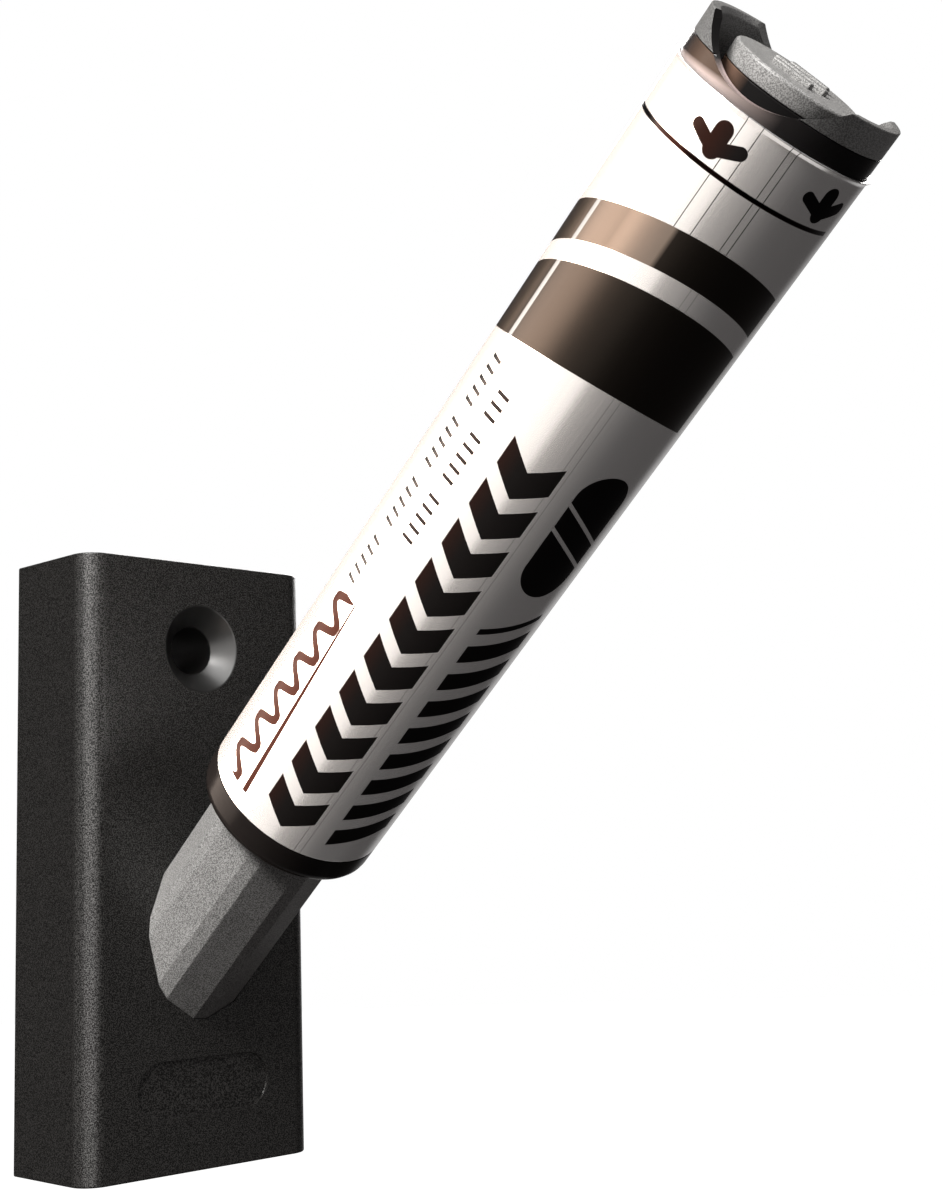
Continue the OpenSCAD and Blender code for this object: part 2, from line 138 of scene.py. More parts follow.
for node in ("cap_shell", "front_collar", "label_film", "tail_crown", "push_button"):
    print(node, "from, to and radius:", [round(value, 2) for value in reach(node)])

# %% [markdown]
# ## Sums in shaders
# A finish is a small calculation: where on the surface, which pattern, how dark, how rough. In the node
# editor each plus sign is a node with two links. Here one small class wraps a socket, so that an ordinary
# Python sum adds the Math nodes by itself. Its other methods add any other node, and make soft masks.

# %% A socket that can be used in sums
class Tone:
    """The output of a node. Python sums on it become Math nodes in the same tree."""

    def __init__(self, tree, socket=None):
        self.tree = tree
        self.socket = socket

    def plug(self, target, value):
        """Links a Tone to a socket, or writes a plain value on it."""
        if isinstance(value, Tone):
            self.tree.links.new(value.socket, target)
        else:
            target.default_value = value

    def node(self, kind, settings=None, sockets=None, out=0):
        """Adds a node: its settings first, then the values or links of its sockets."""
        made = self.tree.nodes.new(kind)
        for name, value in (settings or {}).items():
            setattr(made, name, value)
        for name, value in (sockets or {}).items():
            self.plug(made.inputs[name], value)
        return Tone(self.tree, made.outputs[out])

    def math(self, operation, *values, clamp=False):
        """Adds a Math node, with its result kept from 0 to 1 if asked."""
        settings = {"operation": operation, "use_clamp": clamp}
        return self.node("ShaderNodeMath", settings, dict(enumerate(values)))

    def __add__(self, other):
        return self.math("ADD", self, other)

    def __sub__(self, other):
        return self.math("SUBTRACT", self, other)

    def __rsub__(self, other):
        return self.math("SUBTRACT", other, self)

    def __mul__(self, other):
        return self.math("MULTIPLY", self, other)

    def __truediv__(self, other):
        return self.math("DIVIDE", self, other)

    __radd__ = __add__
    __rmul__ = __mul__

    def size(self):
        """The value without its sign."""
        return self.math("ABSOLUTE", self)

    def above(self, edge, blur):
        """1 where the value is above an edge, 0 where it is below, with a soft step between."""
        return self.math("ADD", (self - edge) / blur, 0.5, clamp=True)

    def between(self, low, high, blur):
        """1 between two edges and 0 outside them."""
        return self.above(low, blur) * (1 - self.above(high, blur))

    def or_else(self, other):
        """The larger of two masks."""
        return self.math("MAXIMUM", self, other)


def mix(factor, first, second):
    """One colour where the factor is 0, and another where it is 1."""
    return factor.node("ShaderNodeMix", {"data_type": "RGBA"}, {0: factor, 6: first, 7: second}, out=2)


def any_of(masks):
    """1 wherever one of the masks is 1."""
    joined = masks[0]
    for mask in masks[1:]:
        joined = joined.or_else(mask)
    return joined


print("Tone handles sums, steps and masks")

# %% [markdown]
# ## Shared starts for a finish
# Every finish begins in the same way: a material, its shader, and the place of each point of the piece.
# Noise on that place gives grain and speckle. A moulded surface is never perfectly even, so noise also
# shifts its roughness a little and feeds a Bump node.

# %% New finish, grain and bump
def new_finish(name):
    """A new material, and the place of each point of the piece that will wear it."""
    material = bpy.data.materials.new(name)
    material.use_nodes = True
    return material, Tone(material.node_tree).node("ShaderNodeTexCoord", out="Object")


def grain(place, size_mm, detail=2.0):
    """Noise from 0 to 1 with grains of about that size."""
    sockets = {"Vector": place, "Scale": 1 / (size_mm * MM), "Detail": detail}
    return place.node("ShaderNodeTexNoise", None, sockets, out="Fac")


def finished(material, values):
    """The material, with each named socket of its shader linked or written."""
    shader = material.node_tree.nodes["Principled BSDF"]
    start = Tone(material.node_tree)
    for name, value in values.items():
        start.plug(shader.inputs[name], value)
    print("Finish", material.name, "has", len(material.node_tree.nodes), "nodes")
    return material


def bumped(height, depth_mm, strength):
    """The normal of a surface with that height pattern, so many millimetres deep."""
    sockets = {"Height": height, "Distance": depth_mm * MM, "Strength": strength}
    return height.node("ShaderNodeBump", None, sockets, out="Normal")


def grey(level, warmth=0.0):
    """A near-neutral colour, a little warm if asked."""
    return (level * (1 + warmth), level, level * (1 - warmth), 1)


print("Finishes start from object coordinates, so they stay with their piece")

# %% [markdown]
# ## The block's finish
# The block is near-black plastic from a spark-eroded mould, which leaves a fine, even, leathery grain. The
# grain hardly shows on the flat faces, but it breaks the light on the rounded edge into small sparks. Two
# sizes of noise are added for the bump. The tips of the fine one get a thin gloss coat, as if polished by
# handling, and the pits stay darker and rougher. The countersink was moulded smooth, so it has nearly the
# same colour with no grain and a cleaner highlight.

# %% Block plastics
FINE_GRAIN = 0.11
COARSE_GRAIN = 0.4
FINE_SHARE = 0.7
GRAIN_TIPS = (0.52, 0.14)

material, place = new_finish("block_grain")
fine = grain(place, FINE_GRAIN, 1.0)
coarse = grain(place, COARSE_GRAIN)
height = fine * FINE_SHARE + coarse * (1 - FINE_SHARE)
tips = fine.above(*GRAIN_TIPS)
BLOCK_GRAIN = finished(material, {
    "Base Color": mix(tips, grey(0.002, 0.04), grey(0.0105, 0.05)),
    "Roughness": 0.34 + (0.5 - fine) * 0.2,
    "Normal": bumped(height, 0.06, 0.8),
    "Coat Weight": tips,
    "Coat Roughness": 0.38,
    "Specular IOR Level": 0.14,
})

material, place = new_finish("block_smooth")
swirl = grain(place, 0.9)
BLOCK_SMOOTH = finished(material, {
    "Base Color": mix(swirl, grey(0.002, 0.03), grey(0.004, 0.03)),
    "Roughness": 0.35 + swirl * 0.06,
    "Normal": bumped(swirl, 0.01, 0.1),
    "Specular IOR Level": 0.45,
})

# %% [markdown]
# ## Speckled greys
# The cap, the tail and its button are grey plastic with a fine speckle, as recycled or filled plastic has.
# One function makes them all from two greys: a small noise is sharpened into light and dark flecks, a
# larger one shifts the whole tone a little, and a slight bump keeps the flats from looking like paper.

# %% Speckled plastics
FLECK = (0.5, 0.16)
FLECK_SHARE = 0.8
CLOUD = 2.6


def speckled_plastic(name, dark, light, roughness):
    material, place = new_finish(name)
    fleck = grain(place, FINE_GRAIN, 1.0).above(*FLECK)
    cloud = grain(place, CLOUD)
    tone = fleck * FLECK_SHARE + cloud * (1 - FLECK_SHARE)
    return finished(material, {
        "Base Color": mix(tone, grey(dark, 0.008), grey(light, 0.012)),
        "Roughness": roughness + (fleck - 0.5) * 0.12,
        "Normal": bumped(fleck, 0.012, 0.35),
    })


CAP_GREY = speckled_plastic("cap_speckle", 0.07, 0.37, 0.5)
BUTTON_GREY = speckled_plastic("button_speckle", 0.1, 0.31, 0.45)
CROWN_GREY = speckled_plastic("crown_speckle", 0.06, 0.19, 0.5)

# %% [markdown]
# ## Gloss black
# The collar is black and smooth, so it shows a soft image of the studio rather than a colour of its own. A
# real moulding has a faint ripple, and handling dulls it here and there: a broad noise bends its surface
# a little, and a finer one varies how rough it is. A low specular level keeps the image dim.

# %% Gloss black plastic
COLLAR_DARK = (0.0054, 0.0047, 0.0046, 1)
COLLAR_LIGHT = (0.0066, 0.0057, 0.0056, 1)

material, place = new_finish("gloss_black")
cloud = grain(place, 2.2)
fine = grain(place, 0.25)
GLOSS_BLACK = finished(material, {
    "Base Color": mix(cloud, COLLAR_DARK, COLLAR_LIGHT),
    "Roughness": 0.18 + fine * 0.08,
    "Normal": bumped(cloud, 0.02, 0.15),
    "Specular IOR Level": 0.025,
})

# %% [markdown]
# ## The pieces inside
# The nose, the feed and the pump are natural white moulding, the nib and the wick are fibre soaked with
# ink, the seals are rubber and the spring is drawn wire. They show only when the marker is pulled out of
# its cap, but each still gets its own finish.

# %% Inner finishes
FLOW_DARK = 0.92
STRAND_STRETCH = (9, 1, 1)
FIBRE_DARK = (0.006, 0.006, 0.008, 1)
FIBRE_LIGHT = (0.03, 0.03, 0.036, 1)


def moulded_plastic(name, level):
    material, place = new_finish(name)
    flow = grain(place, 4.0)
    fine = grain(place, 0.3)
    return finished(material, {
        "Base Color": mix(flow, grey(level * FLOW_DARK, 0.015), grey(level, 0.02)),
        "Roughness": 0.4 + fine * 0.12,
        "Normal": bumped(fine, 0.008, 0.2),
    })


INNER_WHITE = moulded_plastic("inner_white", 0.7)
BARREL_WHITE = moulded_plastic("barrel_white", 0.78)

material, place = new_finish("ink_fibre")
lines = place.node("ShaderNodeMapping", None, {"Vector": place, "Scale": STRAND_STRETCH})
strand = grain(lines, 0.5, 3.0)
INK_FIBRE = finished(material, {
    "Base Color": mix(strand, FIBRE_DARK, FIBRE_LIGHT),
    "Roughness": 0.7 + strand * 0.2,
    "Normal": bumped(strand, 0.06, 0.6),
})

material, place = new_finish("seal_rubber")
bloom = grain(place, 0.6, 3.0)
SEAL_RUBBER = finished(material, {
    "Base Color": mix(bloom, grey(0.018), grey(0.036)),
    "Roughness": 0.55 + bloom * 0.2,
    "Normal": bumped(bloom, 0.015, 0.25),
})

material, place = new_finish("spring_wire")
drawn = grain(place, 0.2, 3.0)
SPRING_WIRE = finished(material, {
    "Base Color": mix(drawn, grey(0.5), grey(0.66)),
    "Roughness": 0.24 + drawn * 0.14,
    "Normal": bumped(drawn, 0.006, 0.2),
    "Metallic": 1.0,
})

# %% [markdown]
# ## The printed film
# The barrel's film is printed flat and then shrunk round the tube. A picture texture would be the usual
# way. Here the print is drawn by sums: each point of the film gets its station along the axis and its
# distance round the barrel, both in millimetres, and a shape is a mask made from those two numbers. The
# distance round is measured from one line along the film, in the middle of its printed side.

# %% Film coordinates
PRINT_LINE = radians(220)
FILM_BEAD = 0.3
INK_BLUR = 0.05
film_front, film_end, bead_r = reach("label_film")
film_r = bead_r - FILM_BEAD
turn_blur = INK_BLUR / film_r


def film_place(place):
    """Station, angle from the print's line and distance round the film, for each of its points."""
    middle = SIDE * cos(PRINT_LINE) + OVER * sin(PRINT_LINE)
    flank = OVER * cos(PRINT_LINE) - SIDE * sin(PRINT_LINE)
    local = place.node("ShaderNodeVectorMath", {"operation": "SUBTRACT"}, {0: place, 1: SOCKET * MM})

    def along(direction):
        sockets = {0: local, 1: direction}
        return place.node("ShaderNodeVectorMath", {"operation": "DOT_PRODUCT"}, sockets, out="Value") / MM

    turn = place.math("ARCTAN2", along(flank), along(middle))
    return along(AXIS), turn, turn * film_r


print("Film from", round(film_front, 2), "to", round(film_end, 2), "mm, radius", round(film_r, 2))

# %% [markdown]
# ### Stripes, rows and marks
# Two dark stripes cross the film at a slant: each edge is a wave, because a slanted cut through a tube
# unrolls into one. A ring line and a few arrows show which end is down. The other rows hold plain motifs:
# a wavy stroke with a tapered underline, a row of bold chevrons, slanted bars that end in a pill, and two
# lines of fine ticks.

# %% Masks of the print
WAVE_CREST = radians(15)
WIDE_STRIPE = ((71.4, 2.8), (78.2, 4.7))
NARROW_STRIPE = ((80.2, 4.6), (84.2, 4.1))
RING_LINE = 92.85
ARROW_TIP = 94.2
ARROW_FIRST = radians(-15.0)
ARROW_STEP = radians(67)
ARROW_REACH = (radians(-45), radians(150))
ARROW_STROKES = ((-2.05, 0.86, 0.5), (0.0, 1.55, 0.78), (2.02, 0.9, 0.56))


def slanted_stripe(station, wave, edges):
    """A stripe between two waves, each given by its middle station and its swing."""
    (low, low_swing), (high, high_swing) = edges
    past_low = station.above(low + wave * low_swing, INK_BLUR)
    past_high = station.above(high + wave * high_swing, INK_BLUR)
    return past_low * (1 - past_high)


def stroke(across, along, end, radius):
    """A round-ended stroke from the zero point to an end point."""
    span = Vector(end)
    unit = span.normalized()
    run = (across * unit.x + along * unit.y) / span.length
    run = run.math("ADD", run, 0, clamp=True) * span.length
    gap_across = across - run * unit.x
    gap_along = along - run * unit.y
    distance = run.math("SQRT", gap_across * gap_across + gap_along * gap_along)
    return 1 - distance.above(radius, INK_BLUR)


def arrows(station, turn):
    """Small three-stroke arrows, on the side that is meant to be read."""
    first = turn - (ARROW_FIRST - ARROW_STEP / 2)
    local = (first.math("FLOORED_MODULO", first, ARROW_STEP) - ARROW_STEP / 2) * film_r
    up = station - ARROW_TIP
    marks = [stroke(local, up, end, radius) for *end, radius in ARROW_STROKES]
    return any_of(marks) * turn.between(*ARROW_REACH, turn_blur)


print("Stripes at", [edge[0] for edge in WIDE_STRIPE + NARROW_STRIPE], "mm, ring line at", RING_LINE)

# %% [markdown]
# The rows lie lengthwise, as print on a marker does. A chevron is a bar whose station is pulled back with
# the distance from the row's middle, and the remainder of a division repeats it along the row. The pill is
# every point within a radius of a short line, less two thin cuts.

# %% Rows of the print
CHEVRON_ROW = (0.25, 2.6)
CHEVRON_SPAN = (22.4, 66.4)
CHEVRON_STEP = 4.4
CHEVRON_INK = (0.02, 0.66)
CHEVRON_BACK = 0.75
BAR_ROW = (4.8, 10.9)
BAR_SPAN = (22.6, 50.2)
BAR_STEP = 3.35
BAR_INK = (0.03, 0.63)
BAR_SLANT = 0.4
PILL_MIDDLE = (61.3, 7.6)
PILL_HALF = (6.6, 2.8)
PILL_CUT = (1.1, 1.5)
PILL_CUT_SLANT = 0.6


def repeat(value, step, ink):
    """Ink on a share of each step along a row: a remainder from 0 to 1, between two edges."""
    share = value.math("FLOORED_MODULO", value, step) / step
    return share.between(*ink, INK_BLUR / step)


def chevrons(station, across):
    """Bold chevrons, one after another."""
    middle, half = CHEVRON_ROW
    off = (across - middle).size()
    along = station - off * CHEVRON_BACK
    bars = repeat(along - CHEVRON_SPAN[0], CHEVRON_STEP, CHEVRON_INK)
    return bars * along.between(*CHEVRON_SPAN, INK_BLUR) * (1 - off.above(half, INK_BLUR))


def slanted_bars(station, across):
    """Bars across the row, each a little slanted."""
    along = station - (across - BAR_ROW[0]) * BAR_SLANT
    bars = repeat(along - BAR_SPAN[0], BAR_STEP, BAR_INK)
    return bars * along.between(*BAR_SPAN, INK_BLUR) * across.between(*BAR_ROW, INK_BLUR)


def pill(station, across):
    """A round-ended bar with two thin slanted cuts."""
    along = station - PILL_MIDDLE[0]
    aside = across - PILL_MIDDLE[1]
    half_length, radius = PILL_HALF
    past = along.size() - (half_length - radius)
    past = past.math("MAXIMUM", past, 0.0)
    distance = past.math("SQRT", past * past + aside * aside)
    cut = (along + aside * PILL_CUT_SLANT).size().between(*PILL_CUT, INK_BLUR)
    return (1 - distance.above(radius, INK_BLUR)) * (1 - cut)


print("Bold rows: chevrons, slanted bars and a pill")

# %% Fine rows of the print
WAVY_ROW = -7.3
WAVY_SPAN = (22.6, 44.8)
WAVE_LENGTH = 3.7
WAVE_SWING = 1.1
WAVE_HALF = 0.43
UNDERLINE_ROW = -4.56
UNDERLINE_DRIFT = 1.25
UNDERLINE_HALF = 0.3
UNDERLINE_TAPER = 0.2
TICK_ROWS = ((-8.2, 45.8, 70.4), (-5.2, 53.0, 69.4))
TICK_HALF = 0.75
TICK_STEP = 1.1
TICK_INK = (0.0, 0.36)
GROUP_STEP = 6.6
GROUP_INK = (-0.1, 0.82)


def wavy_stroke(station, across):
    """A wavy pen stroke over a tapered underline."""
    phase = station * (2 * pi / WAVE_LENGTH)
    slope = station.math("COSINE", phase) * (WAVE_SWING * 2 * pi / WAVE_LENGTH)
    gap = across - WAVY_ROW - station.math("SINE", phase) * WAVE_SWING
    gap = gap.size() / station.math("SQRT", slope * slope + 1)
    wave = 1 - gap.above(WAVE_HALF, INK_BLUR)
    run = (station - WAVY_SPAN[0]) / (WAVY_SPAN[1] - WAVY_SPAN[0])
    gap = (across - UNDERLINE_ROW + run * UNDERLINE_DRIFT).size()
    line = 1 - (gap - (UNDERLINE_HALF - run * UNDERLINE_TAPER)).above(0, INK_BLUR)
    return wave.or_else(line) * station.between(*WAVY_SPAN, INK_BLUR)


def ticks(station, across):
    """Two rows of fine upright ticks, in groups."""
    rows = []
    for middle, first, last in TICK_ROWS:
        run = station - first
        marks = repeat(run, TICK_STEP, TICK_INK) * repeat(run, GROUP_STEP, GROUP_INK)
        line = 1 - (across - middle).size().above(TICK_HALF, INK_BLUR)
        rows.append(marks * line * station.between(first, last, INK_BLUR))
    return any_of(rows)


print("Fine rows: a wavy stroke and", len(TICK_ROWS), "rows of ticks")

# %% [markdown]
# The film is white print on a silvery sheet, so it mirrors the studio softly, and its lengthwise stretch
# leaves faint streaks. The stripes are bare dark foil that mirrors most. A tan painted reflection lies over
# part of the narrow stripe, a narrow pale line across both stripes is a painted highlight with lighter
# painted light beside it, and the stripes stop short of the seam where the film overlaps. The bold motifs
# and the pen stroke are matt ink on top, and the motifs carry a painted brown reflection on one side. A
# few hair-thin dark lines run along the barrel.

# %% Inks of the film
FILM_WHITE = (0.872, 0.868, 0.865, 1)
FILM_STREAK = (0.7848, 0.7812, 0.7785, 1)
INK_BLACK = (0.0058, 0.0053, 0.0053, 1)
# Painted brown reflection on one side of the bold motifs, which are black ink
SEPIA_REFLECTION = (0.0125, 0.0055, 0.0042, 1)
SEPIA_REFLECTION_TO = (radians(-11), 0.25)
INK_RUST = (0.027, 0.0064, 0.0032, 1)
INK_BROWN = (0.006, 0.0022, 0.0018, 1)
INK_UMBER = (0.0054, 0.0047, 0.0047, 1)
INK_STRIPE = (0.024, 0.0202, 0.0173, 1)
# A tan painted reflection over part of the narrow stripe's ink
TAN_REFLECTION = (0.216, 0.178, 0.15, 1)
# Lighter painted light on the stripes beside the highlight line, then the pale painted highlight itself
LIGHT_BESIDE_LINE = (0.058, 0.0475, 0.0385, 1)
HIGHLIGHT_SILVER = (0.165, 0.18, 0.19, 1)
# Where the painted highlight line runs across the stripes, its half width and its blur
HIGHLIGHT_LINE = radians(-55)
HIGHLIGHT_HALF = 0.27
HIGHLIGHT_BLUR = 0.12
# Angles of the lighter painted light beside the highlight line
LIGHT_BESIDE_FROM = (radians(-70), radians(16))
LIGHT_BESIDE_TO = (radians(-60), 0.08)
# Where the tan painted reflection lies on the narrow stripe, and how it fades
TAN_REFLECTION_RAMP = (radians(-20.5), radians(25))
TAN_REFLECTION_LEAST = 0.15
TAN_REFLECTION_REACH = (radians(-60), radians(-6.5))
TAN_REFLECTION_BLUR = 0.05
HAIR_LINES = ((radians(-8.8), 85.0), (radians(0.0), 85.0), (radians(16.2), 20.0), (radians(20.3), 20.0))
HAIR_TONE = (0.04, 0.034, 0.033, 1)
HAIR_HALF = 0.04
HAIR_BLUR = 0.03
HAIR_FULL_FROM = (85.0, 1.0)
HAIR_FAINT = 0.4
HAIR_FULL = 0.9


def hair_lines(station, across):
    """Hair-thin lines along the barrel, fainter over the lower part."""
    lines = []
    for angle, first in HAIR_LINES:
        line = 1 - (across - angle * film_r).size().above(HAIR_HALF, HAIR_BLUR)
        lines.append(line * station.above(first, INK_BLUR))
    return any_of(lines) * (HAIR_FAINT + station.above(*HAIR_FULL_FROM) * (HAIR_FULL - HAIR_FAINT))


def stripe_ink_and_light(narrow, turn, across):
    """Stripe ink, with a painted tan reflection, a painted highlight line and painted light beside it."""
    # Painted tan reflection over part of the narrow stripe
    ramp = turn.above(*TAN_REFLECTION_RAMP) * (1 - TAN_REFLECTION_LEAST) + TAN_REFLECTION_LEAST
    tan_reflection = ramp * turn.between(*TAN_REFLECTION_REACH, TAN_REFLECTION_BLUR) * narrow
    # The gap in the ink is a painted highlight line, with painted light beside it
    gap = 1 - (across - HIGHLIGHT_LINE * film_r).size().above(HIGHLIGHT_HALF, HIGHLIGHT_BLUR)
    beside = turn.above(*LIGHT_BESIDE_FROM) * (1 - turn.above(*LIGHT_BESIDE_TO))
    plain = mix(beside, INK_STRIPE, LIGHT_BESIDE_LINE)
    return mix(gap, mix(tan_reflection, plain, TAN_REFLECTION), HIGHLIGHT_SILVER)


print("Inks: two stripes,", len(HAIR_LINES), "hair lines and matt motifs")

# %% Printed film
SEAM = (radians(70.5), radians(86))
RING_HALF = 0.19
STREAK_WIDTH = 0.22
STREAK_STRETCH = 0.01

# Every mask is laid over the white in turn, from the ring line to the bold motifs
material, place = new_finish("film_print_and_reflections")
station, turn, across = film_place(place)
wave = turn.math("COSINE", turn - WAVE_CREST)
clear = 1 - turn.between(*SEAM, turn_blur)
narrow = slanted_stripe(station, wave, NARROW_STRIPE) * clear
stripes = narrow.or_else(slanted_stripe(station, wave, WIDE_STRIPE) * clear)
ring = station.between(RING_LINE - RING_HALF, RING_LINE + RING_HALF, INK_BLUR) * clear
bold = any_of([
    arrows(station, turn),
    chevrons(station, across),
    slanted_bars(station, across),
    pill(station, across),
])
pen = wavy_stroke(station, across)
fine = ticks(station, across)
foil = any_of([stripes, ring, fine])
matt = pen.or_else(bold)
stretched = {0: across * MM, 1: station * (MM * STREAK_STRETCH)}
stretched = place.node("ShaderNodeCombineXYZ", None, stretched)
streak = grain(stretched, STREAK_WIDTH, 3.0)
inked = mix(streak, FILM_STREAK, FILM_WHITE)
inked = mix(ring, inked, INK_BROWN)
inked = mix(fine, inked, INK_UMBER)
inked = mix(pen, inked, INK_RUST)
# The stripes carry painted reflections and a painted highlight line over their ink
inked = mix(stripes, inked, stripe_ink_and_light(narrow, turn, across))
# The bold motifs are black ink with a painted brown reflection on one side
inked = mix(bold, inked, mix(turn.above(*SEPIA_REFLECTION_TO), SEPIA_REFLECTION, INK_BLACK))
hairs = hair_lines(station, across) * (1 - foil.or_else(matt))
FILM_PRINT_AND_REFLECTIONS = finished(material, {
    "Base Color": mix(hairs, inked, HAIR_TONE),
    "Metallic": 0.77 + foil * 0.23 - matt * 0.67,
    "Roughness": 0.2 + stripes * 0.17 + streak * 0.06,
    "Normal": bumped(streak, 0.005, 0.1),
    "Specular IOR Level": 0.015,
})

# %% [markdown]
# ### The tail's black and its painted reflections
# The band and the button's body are black. On the side where the thumb goes, a painted brown reflection
# lies on the band and the body, and along the band's lower edge a painted pale reflection. The edge that
# the thumb scoop cuts through band and crown carries the same painted pale light there; everywhere else it
# is dark, the band's black and painted shade on the crown's grey cut. All three finishes use the film's
# own angle and station, so that they meet.

# %% Inks of the tail
# Painted light on the band's lit side: a brown reflection, and a pale one along its lower edge
LIT_SIDE_EDGE = (radians(-15), 0.7)
BAND_CORNER = (radians(-64), 0.3)
BAND_SLANT = 0.77
PALE_REFLECTION_HEIGHT = 1.3
BAND_BLUR = 0.5
BAND_DARK = (0.0105, 0.0099, 0.0102, 1)
BAND_BROWN_REFLECTION = (0.031, 0.0215, 0.0165, 1)
BAND_PALE_REFLECTION = (0.205, 0.175, 0.17, 1)
# The body's brown on the lit side is painted light; its dark is the black plastic
BODY_SIDE = (radians(-41), 0.35)
BODY_DARK = (0.0072, 0.0067, 0.0067, 1)
BODY_BROWN_LIGHT = (0.095, 0.058, 0.042, 1)
# The cut rim: pale painted light low on the lit side; dark elsewhere, black on the band, painted shade on
# the crown
RIM_BELOW = 0.35
RIM_PALE_LIGHT = (0.5, 0.385, 0.37, 1)
RIM_DARK = (0.016, 0.0152, 0.0152, 1)
INK_CLOUD = 0.6
band_first, band_last, band_r = reach("tail_band")

material, place = new_finish("band_ink_and_reflections")
station, turn, _ = film_place(place)
cloud = grain(place, INK_CLOUD)
# Painted pale reflection along the band's lower edge, and a painted brown reflection on its lit side
pale_reflection = 1 - (station - turn * BAND_SLANT).above(band_first + PALE_REFLECTION_HEIGHT, BAND_BLUR)
brown = mix(turn.above(*BAND_CORNER), BAND_DARK, BAND_BROWN_REFLECTION)
BAND_INK_AND_REFLECTIONS = finished(material, {
    "Base Color": mix(turn.above(*LIT_SIDE_EDGE), mix(pale_reflection, brown, BAND_PALE_REFLECTION), BAND_DARK),
    "Roughness": 0.2 + cloud * 0.08,
    "Specular IOR Level": 0.03,
})

# The button's body: black, with painted brown light on its lit side
material, place = new_finish("body_black_and_light")
turn = film_place(place)[1]
cloud = grain(place, INK_CLOUD)
BODY_BLACK_AND_LIGHT = finished(material, {
    "Base Color": mix(turn.above(*BODY_SIDE), BODY_BROWN_LIGHT, BODY_DARK),
    "Roughness": 0.22 + cloud * 0.08,
    "Specular IOR Level": 0.02,
})

material, place = new_finish("cut_rim_light_and_shade")
station, turn, _ = film_place(place)
cloud = grain(place, INK_CLOUD)
# Dark past the lit side and above the band: the band's black, and painted shade on the crown's grey cut
black = turn.above(*LIT_SIDE_EDGE).or_else(station.above(band_last - RIM_BELOW, BAND_BLUR))
CUT_RIM_LIGHT_AND_SHADE = finished(material, {
    "Base Color": mix(black, RIM_PALE_LIGHT, RIM_DARK),
    "Roughness": 0.35 + cloud * 0.15,
    "Normal": bumped(cloud, 0.01, 0.2),
    "Specular IOR Level": 0.05,
})

# %% [markdown]
# ## Helpers for modelling
# A turned piece is a line of points spun round the axis. A corner may be eased before the spin: beveling a
# single vertex of the line rounds it. What isn't turned is cut from a bar with Booleans. One function hands
# the result over: it tilts it onto the axis, scales it to metres, hides the frame's node that it replaces
# and hangs it on the body that it rides on.

# %% Turn, combine and hand over
ROUND_STEPS = 144
EASE_STEPS = 5
SAME_PLACE = 1e-5
SHARP_FROM = radians(35)


def turned(profile, ring=True):
    """Spins a line of (radius, station) or (radius, station, ease) points round the axis."""
    bm = bmesh.new()
    corners = [bm.verts.new((point[0], 0, point[1])) for point in profile]
    pairs = list(zip(corners, corners[1:]))
    if ring:
        pairs.append((corners[-1], corners[0]))
    for pair in pairs:
        bm.edges.new(pair)
    for corner, point in zip(corners, profile):
        if len(point) == 3:
            bmesh.ops.bevel(bm, geom=[corner], offset=point[2], affect="VERTICES", segments=EASE_STEPS,
                            profile=0.5, material=-1)
    bmesh.ops.spin(bm, geom=bm.verts[:] + bm.edges[:], cent=(0, 0, 0), axis=(0, 0, 1), angle=2 * pi,
                   steps=ROUND_STEPS, use_merge=True)
    bmesh.ops.remove_doubles(bm, verts=bm.verts, dist=SAME_PLACE)
    bmesh.ops.recalc_face_normals(bm, faces=bm.faces)
    return bm


def combine(work, tool, operation="DIFFERENCE"):
    """Cuts one mesh from another, or joins it on, with an exact Boolean."""
    holders = []
    for source in (work, tool):
        mesh = bpy.data.meshes.new("boolean")
        source.to_mesh(mesh)
        source.free()
        holders.append(bpy.data.objects.new("boolean", mesh))
        scene.collection.objects.link(holders[-1])
    cut = holders[0].modifiers.new("cut", "BOOLEAN")
    cut.operation = operation
    cut.solver = "EXACT"
    cut.object = holders[1]
    result = bmesh.new()
    result.from_object(holders[0], bpy.context.evaluated_depsgraph_get())
    for holder in holders:
        bpy.data.meshes.remove(holder.data)
    bmesh.ops.remove_doubles(result, verts=result.verts, dist=SAME_PLACE)
    return result


def soften(bm, edges, width, segments=2):
    """Rounds sharp edges a little, as every moulded edge is."""
    bmesh.ops.bevel(bm, geom=edges, offset=width, affect="EDGES", segments=segments, profile=0.5,
                    material=-1, clamp_overlap=True)


def sharp_edges(bm, angle):
    """The edges whose two faces meet at more than that angle."""
    return [edge for edge in bm.edges if edge.is_manifold and edge.calc_face_angle() > angle]


def hand_over(name, bm, finishes, body, node, place=ON_AXIS):
    """Puts a mesh in place in metres, hides the frame's node it replaces and hangs it on its body."""
    bm.transform(place)
    bm.transform(Matrix.Scale(MM, 4))
    mesh = bpy.data.meshes.new(name)
    bm.to_mesh(mesh)
    bm.free()
    mesh.shade_smooth()
    mesh.set_sharp_from_angle(angle=SHARP_FROM)
    for finish in finishes:
        mesh.materials.append(finish)
    piece = bpy.data.objects.new(name, mesh)
    scene.collection.objects.link(piece)
    even = piece.modifiers.new("even_normals", "WEIGHTED_NORMAL")
    even.keep_sharp = True
    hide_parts(node)
    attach(piece, body)
    print(name, "has", len(mesh.polygons), "faces and stands for", node)
    return piece


print("A turned piece has", ROUND_STEPS, "steps round its axis")

# %% [markdown]
# ## The wall block
# The block is one moulding: a plain bar with two well-rounded front edges, hollow at the back so that the
# plastic cools evenly, with a boss for the screw and a housing for the socket left standing in the hollow.
# It is made as a tool-maker would think of it: a bar with its edges rounded first, then the hollow, the
# screw hole, the socket and the shallow blank plate taken out of it one by one.

# %% Bars that are cut and used for cutting
CAP_FLATS = 8
CAP_FLAT_W = 3.7
CAP_ROLL = radians(18)
cap_end, cap_mouth, cap_r = reach("cap_shell")


